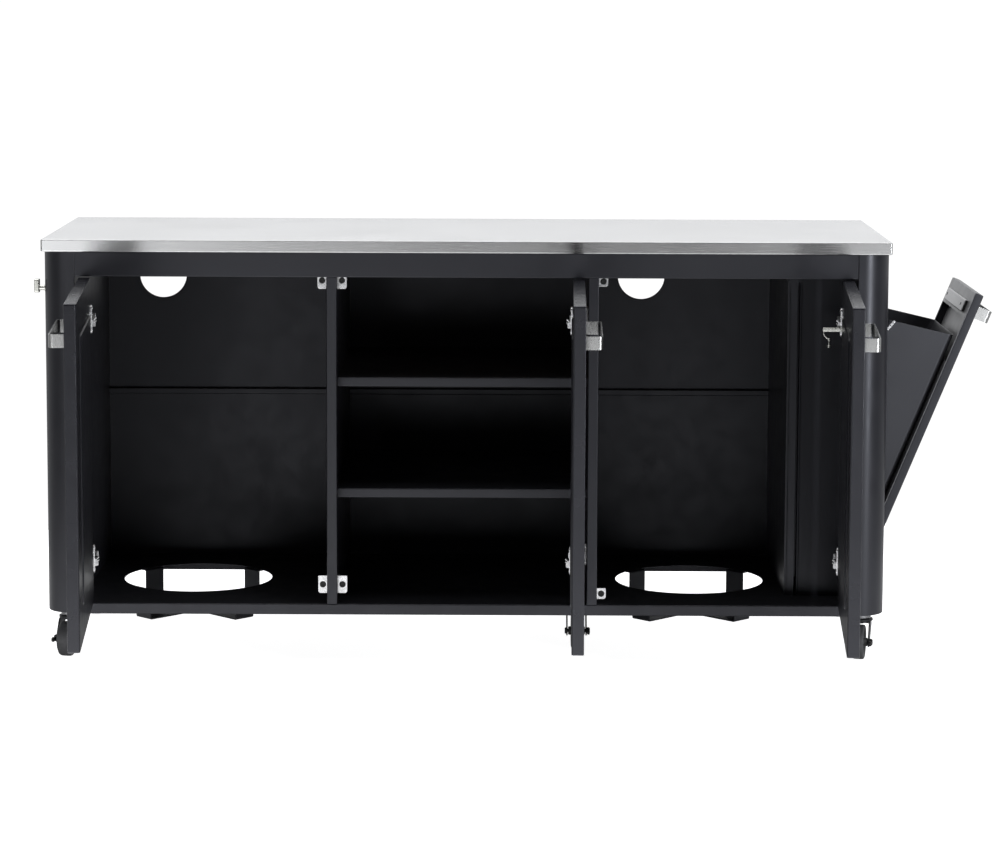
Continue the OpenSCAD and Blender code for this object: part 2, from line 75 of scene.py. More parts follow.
def T(x, y, z=0):
    return Matrix.Translation((x, y, z))


def R(deg, axis):
    return Matrix.Rotation(math.radians(deg), 4, axis)


MX = Matrix.Diagonal((-1, 1, 1, 1))
TO_FRAME = Matrix.Scale(0.001, 4) @ T(-OX, -OY)
REST = {
    "cabinet": Matrix.Identity(4),
    "left_door": T(PXL, 0) @ R(-85.7, "Z"),
    "middle_door": T(PXM, 0) @ R(88.9, "Z") @ MX,
    "right_door": T(PXR, 0) @ R(86.1, "Z") @ MX,
    "bin": T(BX, 0, BZ) @ R(22.1, "Y") @ T(-BX, 0, -BZ),
}
for _n, (_x, _y, _r, _m) in CAST.items():
    _t = T(_x, _y) @ R(_r, "Z") @ (MX if _m < 0 else Matrix.Identity(4))
    REST["castor_" + _n] = _t
    REST["wheel_" + _n + "_body"] = _t
    if _n.startswith("front"):
        REST["brake_" + _n.split("_")[1]] = _t


# ---------------------------------------------------------------- geometry
def arc(cx, cy, r, a0, a1, n):
    return [(cx + r * math.cos(math.radians(a0 + (a1 - a0) * i / n)),
             cy + r * math.sin(math.radians(a0 + (a1 - a0) * i / n))) for i in range(n + 1)]


def ring(cx, cy, r, n=64):
    return arc(cx, cy, r, 0, 360, n)[:-1]


def fillet(pts, radii, closed=True, seg=None):
    """Rounds the corners of a polyline."""
    out = []
    n = len(pts)
    for i, p in enumerate(pts):
        r = radii[i] if isinstance(radii, (list, tuple)) else radii
        if (not closed and i in (0, n - 1)) or r <= 0.01:
            out.append(tuple(p))
            continue
        p = Vector(p)
        a = (Vector(pts[i - 1]) - p).normalized()
        b = (Vector(pts[(i + 1) % n]) - p).normalized()
        dot = max(-1, min(1, a.dot(b)))
        ang = math.acos(dot)
        if abs(math.pi - ang) < 0.02:
            out.append(tuple(p))
            continue
        d = r / math.tan(ang / 2)
        c = p + (a + b).normalized() * (r / math.sin(ang / 2))
        s, t = p + a * d, p + b * d
        a0 = math.atan2(s.y - c.y, s.x - c.x)
        a1 = math.atan2(t.y - c.y, t.x - c.x)
        while a1 - a0 > math.pi:
            a1 -= 2 * math.pi
        while a1 - a0 < -math.pi:
            a1 += 2 * math.pi
        k = seg or max(3, int(abs(a1 - a0) / math.radians(90) * (4 + r ** 0.5 * 2)))
        for j in range(k + 1):
            q = a0 + (a1 - a0) * j / k
            out.append((c.x + r * math.cos(q), c.y + r * math.sin(q)))
    return out


def rrect(x0, y0, x1, y1, r, seg=None):
    return fillet([(x0, y0), (x1, y0), (x1, y1), (x0, y1)], r, True, seg)


def fold(path, t, bend):
    """A bent strip of sheet: the closed outline of a polyline thickened to its left."""
    n = len(path)
    off = []
    left, right = [0.0] * n, [0.0] * n
    for i in range(n):
        p = Vector(path[i])
        if i == 0 or i == n - 1:
            d = (Vector(path[1]) - p) if i == 0 else (p - Vector(path[-2]))
            d.normalize()
            off.append(tuple(p + Vector((-d.y, d.x)) * t))
            continue
        d0 = (p - Vector(path[i - 1])).normalized()
        d1 = (Vector(path[i + 1]) - p).normalized()
        n0, n1 = Vector((-d0.y, d0.x)), Vector((-d1.y, d1.x))
        m = (n0 + n1).normalized()
        off.append(tuple(p + m * (t / m.dot(n0))))
        turn = d0.x * d1.y - d0.y * d1.x
        if turn > 0:
            left[i], right[i] = bend, max(bend - t, 0.3)
        else:
            left[i], right[i] = max(bend - t, 0.3), bend
    a = fillet(path, left, False)
    b = fillet(off, right, False)
    return a + b[::-1]


def geo(bm):
    bm.verts.ensure_lookup_table()
    bm.verts.index_update()
    g = ([v.co.copy() for v in bm.verts], [[v.index for v in f.verts] for f in bm.faces])
    bm.free()
    return g


def to_bm(g):
    bm = bmesh.new()
    vs = [bm.verts.new(v) for v in g[0]]
    for f in g[1]:
        try:
            bm.faces.new([vs[i] for i in f])
        except ValueError:
            pass
    bmesh.ops.recalc_face_normals(bm, faces=bm.faces)
    return bm


def bevel(g, r, seg=2, angle=40, limit=None):
    """Rounds the sharp edges of a closed piece."""
    bm = to_bm(g)
    bmesh.ops.remove_doubles(bm, verts=bm.verts, dist=0.0005)
    es = [e for e in bm.edges if len(e.link_faces) == 2 and e.calc_face_angle(0) > math.radians(angle)
          and (limit is None or limit(e))]
    bmesh.ops.bevel(bm, geom=es, offset=r, offset_type="OFFSET", segments=seg, profile=0.5,
                    affect="EDGES", clamp_overlap=True)
    return geo(bm)


def block(lo, hi, r=1.0, seg=2):
    bm = bmesh.new()
    bmesh.ops.create_cube(bm, size=1)
    for v in bm.verts:
        for k in range(3):
            v.co[k] = lo[k] if v.co[k] < 0 else hi[k]
    g = geo(bm)
    return bevel(g, r, seg) if r > 0 else g


def prism(poly, axis, a, b, r=0.0, seg=2, angle=40):
    """A closed outline drawn out along an axis, with its sharp edges rounded."""
    put = {"z": lambda u, v, w: (u, v, w), "x": lambda u, v, w: (w, u, v), "y": lambda u, v, w: (u, w, v)}[axis]
    n = len(poly)
    vs = [Vector(put(u, v, a)) for u, v in poly] + [Vector(put(u, v, b)) for u, v in poly]
    fs = [[i, (i + 1) % n, n + (i + 1) % n, n + i] for i in range(n)] + [list(range(n))[::-1], list(range(n, 2 * n))]
    g = (vs, fs)
    return bevel(g, r, seg, angle) if r > 0 else g


def loft(loops, cap=True):
    """Skins a stack of loops with the same number of points."""
    n = len(loops[0])
    vs = [Vector(p) for l in loops for p in l]
    fs = []
    for k in range(len(loops) - 1):
        for i in range(n):
            j = (i + 1) % n
            fs.append([k * n + i, k * n + j, (k + 1) * n + j, (k + 1) * n + i])
    if cap:
        fs.append(list(range(n))[::-1])
        fs.append([(len(loops) - 1) * n + i for i in range(n)])
    return vs, fs


def lathe(profile, n=48, m=Matrix.Identity(4)):
    """Turns a profile of (radius, height) about Z, then places it."""
    vs, fs, rows = [], [], []
    for r, h in profile:
        if r < 1e-6:
            rows.append([len(vs)])
            vs.append(m @ Vector((0, 0, h)))
        else:
            rows.append([len(vs) + i for i in range(n)])
            for i in range(n):
                a = 2 * math.pi * i / n
                vs.append(m @ Vector((r * math.cos(a), r * math.sin(a), h)))
    for p, q in zip(rows, rows[1:]):
        for i in range(n):
            j = (i + 1) % n
            if len(p) == 1 and len(q) == 1:
                continue
            if len(p) == 1:
                fs.append([p[0], q[j], q[i]])
            elif len(q) == 1:
                fs.append([p[i], p[j], q[0]])
            else:
                fs.append([p[i], p[j], q[j], q[i]])
    return vs, fs


def rod(path, r, n=12, ends=True):
    """A round wire along a path."""
    pts = [Vector(p) for p in path]
    up = Vector((0.13, 0.37, 0.92))
    loops = []
    for i, p in enumerate(pts):
        d = (pts[min(i + 1, len(pts) - 1)] - pts[max(i - 1, 0)]).normalized()
        u = (up - d * up.dot(d)).normalized()
        v = d.cross(u)
        up = u
        loops.append([p + (u * math.cos(2 * math.pi * k / n) + v * math.sin(2 * math.pi * k / n)) * r
                      for k in range(n)])
    return loft(loops, ends)


def plate(outline, holes, t, edge=0.3, m=Matrix.Identity(4)):
    """A flat plate with holes, its edges slightly rounded. Drawn in XY, from z = 0 to t."""
    cu = bpy.data.curves.new("tmp", "CURVE")
    cu.dimensions = "2D"
    cu.fill_mode = "BOTH"
    for loop in [outline, *holes]:
        s = cu.splines.new("POLY")
        s.points.add(len(loop) - 1)
        for p, q in zip(s.points, loop):
            p.co = (q[0], q[1], 0, 1)
        s.use_cyclic_u = True
    cu.extrude = t / 2 - edge
    cu.bevel_depth = edge
    cu.bevel_resolution = 1
    cu.offset = -edge
    ob = bpy.data.objects.new("tmp", cu)
    bpy.context.scene.collection.objects.link(ob)
    dg = bpy.context.evaluated_depsgraph_get()
    me = bpy.data.meshes.new_from_object(ob.evaluated_get(dg))
    place = m @ T(0, 0, t / 2)
    g = ([place @ v.co for v in me.vertices], [list(p.vertices) for p in me.polygons])
    bpy.data.objects.remove(ob)
    bpy.data.meshes.remove(me)
    bpy.data.curves.remove(cu)
    bm = to_bm(g)
    bmesh.ops.remove_doubles(bm, verts=bm.verts, dist=0.002)
    bmesh.ops.recalc_face_normals(bm, faces=bm.faces)
    return geo(bm)


def temp(g):
    bm = to_bm(g)
    me = bpy.data.meshes.new("tmp")
    bm.to_mesh(me)
    bm.free()
    ob = bpy.data.objects.new("tmp", me)
    bpy.context.scene.collection.objects.link(ob)
    return ob


def cut(a, *tools, mode="DIFFERENCE"):
    """Boolean of closed pieces."""
    oa = temp(a)
    obs = []
    for t in tools:
        ob = temp(t)
        md = oa.modifiers.new("b", "BOOLEAN")
        md.operation = mode
        md.solver = "EXACT"
        md.object = ob
        obs.append(ob)
    dg = bpy.context.evaluated_depsgraph_get()
    me = bpy.data.meshes.new_from_object(oa.evaluated_get(dg))
    g = ([v.co.copy() for v in me.vertices], [list(p.vertices) for p in me.polygons])
    bpy.data.meshes.remove(me)
    for ob in [oa, *obs]:
        d = ob.data
        bpy.data.objects.remove(ob)
        bpy.data.meshes.remove(d)
    bm = to_bm(g)
    bmesh.ops.remove_doubles(bm, verts=bm.verts, dist=0.001)
    bmesh.ops.dissolve_limit(bm, angle_limit=math.radians(0.5), verts=bm.verts, edges=bm.edges)
    return geo(bm)


def moved(g, m):
    return [m @ v for v in g[0]], g[1]


made = {}


def make(name, body, mat, geos, replaces=(), rest=True, angle=38):
    """Joins pieces of geometry (mm, drawn closed) into one object on a body."""
    m = TO_FRAME @ (REST[body] if rest else Matrix.Identity(4))
    flip = m.determinant() < 0
    vs, fs = [], []
    for g in geos:
        k = len(vs)
        vs += [m @ Vector(v) for v in g[0]]
        fs += [[i + k for i in (f[::-1] if flip else f)] for f in g[1]]
    me = bpy.data.meshes.new(name)
    me.from_pydata([tuple(v) for v in vs], [], fs)
    bm = bmesh.new()
    bm.from_mesh(me)
    bmesh.ops.recalc_face_normals(bm, faces=bm.faces)
    bm.to_mesh(me)
    bm.free()
    me.shade_smooth()
    me.set_sharp_from_angle(angle=math.radians(angle))
    ob = bpy.data.objects.new(name + "_tmp", me)
    bpy.context.scene.collection.objects.link(ob)
    md = ob.modifiers.new("w", "WEIGHTED_NORMAL")
    md.keep_sharp = True
    md.weight = 80
    dg = bpy.context.evaluated_depsgraph_get()
    done = bpy.data.meshes.new_from_object(ob.evaluated_get(dg), preserve_all_data_layers=True, depsgraph=dg)
    bpy.data.objects.remove(ob)
    bpy.data.meshes.remove(me)
    done.name = name
    ob = bpy.data.objects.new(name, done)
    bpy.context.scene.collection.objects.link(ob)
    done.materials.clear()
    done.materials.append(mat)
    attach(ob, body)
    if replaces:
        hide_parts(*replaces)
    made[name] = ob
    return ob


# ---------------------------------------------------------------- materials
def new_mat(name):
    m = bpy.data.materials.new(name)
    m.use_nodes = True
    t = m.node_tree
    t.nodes.clear()
    out = t.nodes.new("ShaderNodeOutputMaterial")
    b = t.nodes.new("ShaderNodeBsdfPrincipled")
    t.links.new(b.outputs[0], out.inputs[0])
    tc = t.nodes.new("ShaderNodeTexCoord")
    return m, t, b, tc


def mapped(t, tc, scale, rot=(0, 0, 0)):
    n = t.nodes.new("ShaderNodeMapping")
    n.inputs["Scale"].default_value = scale
    n.inputs["Rotation"].default_value = rot
    t.links.new(tc.outputs["Object"], n.inputs[0])
    return n.outputs[0]


def noise(t, vec, scale, detail=2.0, rough=0.5):
    n = t.nodes.new("ShaderNodeTexNoise")
    n.inputs["Scale"].default_value = scale
    n.inputs["Detail"].default_value = detail
    n.inputs["Roughness"].default_value = rough
    t.links.new(vec, n.inputs["Vector"])
    return n.outputs["Fac"]


def ramp(t, fac, a, b, c0, c1):
    n = t.nodes.new("ShaderNodeValToRGB")
    n.color_ramp.elements[0].position = a
    n.color_ramp.elements[1].position = b
    n.color_ramp.elements[0].color = (*c0, 1) if len(c0) == 3 else c0
    n.color_ramp.elements[1].color = (*c1, 1) if len(c1) == 3 else c1
    t.links.new(fac, n.inputs[0])
    return n.outputs[0]


def span(t, fac, lo, hi, a=0.3, b=0.7):
    n = t.nodes.new("ShaderNodeMapRange")
    n.inputs["From Min"].default_value = a
    n.inputs["From Max"].default_value = b
    n.inputs["To Min"].default_value = lo
    n.inputs["To Max"].default_value = hi
    t.links.new(fac, n.inputs["Value"])
    return n.outputs[0]


def bump(t, b, height, strength, dist, under=None):
    n = t.nodes.new("ShaderNodeBump")
    n.inputs["Strength"].default_value = strength
    n.inputs["Distance"].default_value = dist
    t.links.new(height, n.inputs["Height"])
    if under is not None:
        t.links.new(under, n.inputs["Normal"])
    if b is not None:
        t.links.new(n.outputs[0], b.inputs["Normal"])
    return n.outputs[0]


def coat(name, c0, c1, r0, r1, peel=0.1, spec=0.5):
    """Satin powder coat: fine orange peel, slight drift of tone and gloss."""
    m, t, b, tc = new_mat(name)
    v = mapped(t, tc, (1, 1, 1))
    t.links.new(ramp(t, noise(t, v, 3.2, 3), 0.35, 0.68, c0, c1), b.inputs["Base Color"])
    t.links.new(span(t, noise(t, v, 26, 4), r0, r1), b.inputs["Roughness"])
    fine = noise(t, v, 1500, 2)
    wide = noise(t, v, 5.0, 1)
    w = bump(t, None, wide, 0.06, 0.002)
    bump(t, b, fine, peel, 0.00006, w)
    b.inputs["Specular IOR Level"].default_value = spec
    b.inputs["Specular Tint"].default_value = (0.91, 0.92, 1.0, 1)
    return m


def brushed(name, c0, c1, r0, r1, along=(2.0, 260, 260), strength=0.1, rot=(0, 0, 0)):
    """Brushed metal: long fine scratches one way, faint cloudiness."""
    m, t, b, tc = new_mat(name)
    v = mapped(t, tc, along, rot)
    lines = noise(t, v, 9, 4, 0.65)
    cloud = noise(t, mapped(t, tc, (1, 1, 1)), 4.5, 3)
    mix = t.nodes.new("ShaderNodeMix")
    mix.data_type = "RGBA"
    mix.blend_type = "MULTIPLY"
    mix.inputs["Factor"].default_value = 0.5
    t.links.new(ramp(t, lines, 0.25, 0.8, c0, c1), mix.inputs[6])
    t.links.new(ramp(t, cloud, 0.3, 0.75, (0.86, 0.86, 0.86), (1, 1, 1)), mix.inputs[7])
    t.links.new(mix.outputs[2], b.inputs["Base Color"])
    t.links.new(span(t, lines, r0, r1, 0.3, 0.75), b.inputs["Roughness"])
    b.inputs["Metallic"].default_value = 1.0
    bump(t, b, lines, strength, 0.00005)
    return m


def plated(name, c0, c1, r0, r1):
    """Bright zinc plate: mottled, with faint pressing marks."""
    m, t, b, tc = new_mat(name)
    v = mapped(t, tc, (1, 1, 1))
    mot = noise(t, v, 160, 4, 0.6)
    t.links.new(ramp(t, mot, 0.3, 0.7, c0, c1), b.inputs["Base Color"])
    t.links.new(span(t, noise(t, v, 420, 2), r0, r1), b.inputs["Roughness"])
    b.inputs["Metallic"].default_value = 1.0
    bump(t, b, noise(t, v, 240, 3), 0.12, 0.00015)
    return m


def dull(name, c0, c1, r0, r1, scale=300, strength=0.2, dist=0.0002, spec=0.4):
    """Moulded plastic or rubber: fine grain, slightly uneven tone."""
    m, t, b, tc = new_mat(name)
    v = mapped(t, tc, (1, 1, 1))
    t.links.new(ramp(t, noise(t, v, scale * 0.2, 3), 0.3, 0.7, c0, c1), b.inputs["Base Color"])
    g = noise(t, v, scale, 3, 0.6)
    t.links.new(span(t, g, r0, r1), b.inputs["Roughness"])
    bump(t, b, g, strength, dist)
    b.inputs["Specular IOR Level"].default_value = spec
    return m


def board(name):
    """The packing board under the worktop: pressed chips in brown binder."""
    m, t, b, tc = new_mat(name)
    v = mapped(t, tc, (1, 1.6, 1))
    vo = t.nodes.new("ShaderNodeTexVoronoi")
    vo.inputs["Scale"].default_value = 260
    t.links.new(v, vo.inputs["Vector"])
    t.links.new(ramp(t, vo.outputs["Distance"], 0.1, 0.7, (0.16, 0.1, 0.055), (0.34, 0.24, 0.14)), b.inputs["Base Color"])
    b.inputs["Roughness"].default_value = 0.8
    bump(t, b, vo.outputs["Distance"], 0.3, 0.0004)
    return m


M_TOP = brushed("brushed_worktop", (0.56, 0.56, 0.565), (0.68, 0.68, 0.68), 0.22, 0.29, (1.6, 300, 300), 0.06)
_b = next(n for n in M_TOP.node_tree.nodes if n.type == "BSDF_PRINCIPLED")
_b.inputs["Anisotropic"].default_value = 1.0
_t = M_TOP.node_tree.nodes.new("ShaderNodeTangent")
_t.direction_type = "RADIAL"
_t.axis = "X"
M_TOP.node_tree.links.new(_t.outputs[0], _b.inputs["Tangent"])
M_COAT = coat("powder_coat", (0.0120, 0.0121, 0.0150), (0.0150, 0.0151, 0.0182), 0.31, 0.38)
M_DOOR = coat("powder_coat_door", (0.0115, 0.0116, 0.0145), (0.0145, 0.0146, 0.0178), 0.22, 0.28)
# a darker copy of the door coat for the door insides and the bin cover: painted shade on faces turned away from the
# light
M_DIN_SHADE = coat("powder_coat_door_inside_painted_shade", (0.0046, 0.0047, 0.0064), (0.0062, 0.0063, 0.0082), 0.30, 0.37, spec=0.34)
# a darker copy of the powder coat for the back sheets: painted shade in the back of the bays
M_IN_SHADE = coat("powder_coat_inside_painted_shade", (0.0066, 0.0067, 0.0086), (0.0086, 0.0087, 0.0108), 0.36, 0.44, spec=0.42)
M_BIN = coat("bin_coat", (0.0250, 0.0252, 0.0285), (0.0315, 0.0318, 0.0355), 0.36, 0.44)
M_GRIP = brushed("brushed_handle", (0.52, 0.52, 0.515), (0.64, 0.64, 0.63), 0.22, 0.32, (300, 300, 4), 0.08)
M_ZINC = plated("zinc_plate", (0.60, 0.60, 0.61), (0.78, 0.78, 0.79), 0.22, 0.36)
M_GALV = brushed("plain_sheet_edge", (0.36, 0.36, 0.365), (0.50, 0.50, 0.505), 0.34, 0.46, (3, 120, 120), 0.12)
M_HOOK = plated("hook_plate", (0.55, 0.55, 0.51), (0.72, 0.72, 0.68), 0.2, 0.34)
M_CAST = coat("castor_black", (0.006, 0.006, 0.0065), (0.010, 0.010, 0.0105), 0.30, 0.42, 0.2)
M_BOSS = plated("castor_boss_zinc", (0.22, 0.22, 0.225), (0.32, 0.32, 0.33), 0.34, 0.5)
M_LINER = coat("bin_liner_coat", (0.140, 0.140, 0.144), (0.168, 0.168, 0.173), 0.34, 0.42)
M_TYRE = dull("castor_tread", (0.050, 0.050, 0.053), (0.085, 0.085, 0.089), 0.5, 0.7)
M_HUB = dull("castor_hub", (0.035, 0.035, 0.036), (0.06, 0.06, 0.061), 0.4, 0.55)
M_PLAS = dull("black_plastic", (0.006, 0.006, 0.006), (0.011, 0.011, 0.011), 0.35, 0.5)
M_BOARD = board("packing_board")

I4 = Matrix.Identity(4)


# ---------------------------------------------------------------- worktop
def top_loop(d, z):
    r = max(0.15, 4.0 + d)
    return [(x, y, z) for x, y in fillet([(-HW - d, -11 - d), (HW + d, -11 - d), (HW + d, 589 + d), (-HW - d, 589 + d)], r, True, 5)]


prof = [(-14, TOP)] + [(-2.2 + 2.2 * math.sin(a), TOP - 2.2 + 2.2 * math.cos(a))
                       for a in [math.radians(k) for k in (0, 22.5, 45, 67.5, 90)]]
prof += [(-2.6 + 2.6 * math.cos(a), BODY + 2.6 - 2.6 * math.sin(a))
         for a in [math.radians(k) for k in (0, 22.5, 45, 67.5, 90)]]
prof += [(-15.7, BODY), (-16, BODY + 0.4), (-16, BODY + 1.5), (-3.2, BODY + 1.5)]
loops = [top_loop(d, z) for d, z in prof]
vs, fs = loft(loops, cap=False)
fs.append(list(range(len(loops[0]))))
make("worktop_sheet", "cabinet", M_TOP, [(vs, fs)], ["worktop_skin"], angle=50)
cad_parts["worktop_core"].data.materials.clear()
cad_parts["worktop_core"].data.materials.append(M_BOARD)

# ---------------------------------------------------------------- sides
side = fillet([(XI, 0), (HW, 0), (HW, 588), (XI, 588)], [1.6, 57, 8, 1.2], True, 24)
solid = prism(side, "z", POST, BODY - 0.05)
solid = bevel(solid, 3.6, 4, 60, lambda e: max(e.verts[0].co.z, e.verts[1].co.z) < POST + 0.01)
left = (([Vector((-v.x, v.y, v.z)) for v in solid[0]]), [f[::-1] for f in solid[1]])
make("left_side", "cabinet", M_COAT, [left],
     ["left_side_shell", "left_side_liner"])
hatch = cut(solid, block((820, 115, 245), (910, 473, 833), 0))
make("right_side", "cabinet", M_COAT, [bevel(hatch, 1.2, 2, 60)],
     ["right_side_shell", "right_side_liner"])

# ---------------------------------------------------------------- rails and floor
rail = fold([(30, RAIL), (0, RAIL), (0, BODY - 0.05), (30, BODY - 0.05)][::-1], 1.5, 2.4)
make("top_rail_sheet", "cabinet", M_COAT, [prism(rail, "x", -XI + 0.4, XI - 0.4)], ["top_front_rail"])
lip = fold([(9, FLOOR), (0, FLOOR), (0, LIP), (18, LIP)], 1.5, 2.4)
floor = plate([(-XI, 8.9), (XI, 8.9), (XI, BACK), (-XI, BACK)],
              [ring(x, WY, WR, 160)[::-1] for x in WELLS], 1.5, 0.25, T(0, 0, FLOOR - 1.5))
rear_lip = fold([(BACK - 12, POST), (BACK, POST), (BACK, FLOOR - 1.6)], 1.5, 2.2)
hems = [block((s * (XI - 0.75) - 0.75, 2, POST), (s * (XI - 0.75) + 0.75, BACK - 2, FLOOR - 1.4), 0.4) for s in (-1, 1)]
make("floor_sheet", "cabinet", M_COAT, [prism(lip, "x", -XI + 0.3, XI - 0.3), floor, prism(rear_lip, "x", -XI + 2, XI - 2), *hems],
     ["floor_pan"])


def fold_right(path, t, bend):
    """As fold, thickened to the right of the path."""
    return fold(path[::-1], t, bend)


# dividers: a sheet folded into a narrow U
def divider(x):
    u = fold_right([(x + 11, BACK), (x + 11, 0), (x - 11, 0), (x - 11, BACK)], 1.5, 2.0)
    u2 = fold_right([(x + 11, BACK - 31), (x + 11, 30.5), (x - 11, 30.5), (x - 11, BACK - 31)], 1.5, 2.0)
    return [prism(u, "z", FLOOR, RAIL), prism(u2, "z", RAIL, BODY - 0.1)]


make("left_divider_sheet", "cabinet", M_COAT, divider(-286), ["left_divider"])
make("right_divider_sheet", "cabinet", M_COAT, divider(270), ["right_divider"])


def shelf(z):
    s = fold_right([(52, z - 20), (40, z - 20), (40, z), (574.5, z), (574.5, z - 20)], 1.5, 2.2)
    return prism(s, "x", D1R + 0.3, D2L - 0.3)


make("shelf_sheets", "cabinet", M_COAT, [shelf(SH1), shelf(SH2)], ["shelves"])

# ---------------------------------------------------------------- back
stand = R(90, "X")
up_back = plate([(-XI, SEAM + 14), (XI, SEAM + 14), (XI, BODY - 0.1), (-XI, BODY - 0.1)],
                [ring(x, HOZ, HOR, 96)[::-1] for x in HOLES], 1.5, 0.25, T(0, 588, 0) @ stand)
hem = []
for x in HOLES:
    hem.append(lathe([(HOR + 0.2, -0.1), (HOR - 0.3, -0.5), (HOR - 0.5, -1.0), (HOR + 2.4, -1.3), (HOR + 2.9, -0.9), (HOR + 2.9, 0.1)],
                     96, T(x, 588 - 1.5, HOZ) @ R(-90, "X")))
# the back sheets take the darker copy of the coat: painted shade
make("back_upper_sheet", "cabinet", M_IN_SHADE, [up_back, *hem], ["back_panel_upper"])
low_back = [block((-XI, BACK, POST), (XI, 588, SEAM + 14), 0.4)]
for a, b in ((-XI, D1L), (D1R, D2L), (D2R, PART - 0.2)):
    led = fold_right([(BACK, SEAM), (BACK - 10, SEAM), (BACK - 10, SEAM + 14), (BACK, SEAM + 14)], 1.5, 2.6)
    low_back.append(prism(led, "x", a + 0.3, b - 0.3))
make("back_lower_sheet", "cabinet", M_IN_SHADE, low_back, ["back_panel_lower"])

# ---------------------------------------------------------------- bin compartment
# both have rounded top corners at the front
pp = [block((PART, 118, FLOOR), (PART + 1.5, BACK, PTOP - 12), 0.4), block((PART, 140, PTOP - 13), (PART + 1.5, BACK, PTOP), 0.4)]
pp.append(prism(fillet([(PART, FLOOR), (PART + 21, FLOOR), (PART + 21, PTOP), (PART, PTOP)], [0.3, 0.3, 4, 16], True, 8), "y", 111, 112.5, 0.5))
pp.append(prism(fold_right([(PART + 6, 111), (PART, 111), (PART, 119)], 1.5, 4.5), "z", FLOOR, PTOP - 16))
make("bin_partition_sheet", "cabinet", M_COAT, pp, ["bin_partition"])
fc = [prism(fillet([(PART + 27, FLOOR), (XI - 0.2, FLOOR), (XI - 0.2, PTOP), (PART + 27, PTOP)], [0.3, 0.3, 0.3, 10], True, 8), "y", 111, 112.5, 0.4)]
fc.append(prism(fold([(PART + 25, 127), (PART + 25, 111), (PART + 31, 111)], 1.5, 4.5), "z", FLOOR, PTOP - 12))
tongue = block((PART + 8, 125.5, FLOOR + 40), (PART + 26.5, 127, PTOP - 20), 0.4)
make("bin_cover_sheet", "cabinet", M_DIN_SHADE, [*fc, tongue], ["bin_front_cover"])


# ---------------------------------------------------------------- small hardware
def screw(m, r=3.6, h=1.6):
    """A domed screw head with a cross recess."""
    head = lathe([(0, h), (r * 0.35, h * 0.97), (r * 0.7, h * 0.8), (r * 0.95, h * 0.4), (r, 0.05), (r, -0.2), (0, -0.2)], 24)
    cross = [block((-r * 0.55, -0.45, h * 0.45), (r * 0.55, 0.45, h + 1), 0),
             block((-0.45, -r * 0.55, h * 0.45), (0.45, r * 0.55, h + 1), 0)]
    return moved(cut(head, *cross), m)


SCREW = screw(I4)


def put_screw(m, k=1.0):
    return moved(SCREW, m @ Matrix.Scale(k, 4))


FACE_Y = R(90, "X")          # local +Z to -Y
FACE_YB = R(-90, "X")        # local +Z to +Y
FACE_X = R(90, "Y")          # local +Z to +X
FACE_XB = R(-90, "Y")        # local +Z to -X

# catch plates: a folded tab with a round magnet button
CATCH = [(D1L, -1, 822, -18, 8.4), (D1R, 1, 822, -18, 8.4), (D1L, -1, 165.5, -19, 19), (D1R, 1, 165.5, -19, 19),
         (D2R, 1, 822, -11, 8.4), (D2R, 1, 147.5, -12, 12)]
cat, mag = [], []
for x, s, z, z0, z1 in CATCH:
    out = fillet([(0, z0), (20, z0), (20, z1), (0, z1)], [0.3, 5.0, 1.5, 0.3], True, 5)
    g = plate(out, [ring(10, 0, 6.8, 32)[::-1]], 1.5, 0.3, T(0, 28.5, 0) @ stand)
    fl = block((0, 27.2, z0 + 0.4), (1.5, 60, z1 - 0.4), 0.5)
    scr = [put_screw(T(1.5, y, (z0 + z1) / 2) @ FACE_X, 0.8) for y in (40, 51)]
    m = T(x, 0, z) @ (MX if s < 0 else I4)
    cat += [moved(q, m) for q in (g, fl, *scr)]
    disc = lathe([(0, 0.9), (1.3, 0.9), (1.8, 1.3), (4.9, 1.6), (6.0, 1.35), (6.5, 0.6), (6.5, -8), (0, -8)], 40, T(10, 27, 0) @ FACE_Y)
    mag.append(moved(disc, m))
make("catch_plates", "cabinet", M_ZINC, cat, ["catch_brackets"])
make("catch_buttons", "cabinet", M_PLAS, mag, ["catch_magnets"])


def hinge_fixed():
    """Mounting plate and arm on the cabinet wall, drawn for a wall at x = 0 on the left."""
    gs = []
    for z in HZ:
        wing = plate(fillet([(46, -24), (62, -24), (62, 24), (46, 24)], 5, True, 5), [], 2.4, 0.4,
                     T(0, 0, z) @ Matrix(((0, 0, 1, 0), (1, 0, 0, 0), (0, 1, 0, 0), (0, 0, 0, 1))))
        base = block((0, 39.6, z - 8.8), (2.6, 84, z + 8.8), 0.8)
        arm = prism(fillet([(2.5, 39.6), (11, 39.6), (11, 70), (7.5, 80), (2.5, 80)], [0.5, 2.5, 2, 1, 0.5], True, 4), "z", z - 7.8, z + 7.8, 0.7)
        nose = prism(fillet([(9, 39.6), (38.5, 39.6), (40, 43), (36, 49), (11, 49)], [0.5, 1, 2, 2, 1], True, 4), "z", z - 5.8, z + 5.8, 0.6)
        gs += [wing, base, arm, nose]
        gs += [put_screw(T(2.4, 54, z + s * 17) @ FACE_X, 1.0) for s in (-1, 1)]
        gs += [put_screw(T(11, 62, z) @ FACE_X, 0.9), put_screw(T(11, 49, z) @ FACE_X, 0.7)]
    return gs


hf = hinge_fixed()
gs = []
for x, m in ((-XI, I4), (D2L, MX), (XI, MX)):
    gs += [moved(g, T(x, 0) @ m) for g in hf]
make("hinge_fixed_parts", "cabinet", M_ZINC, gs, ["hinge_arms"])

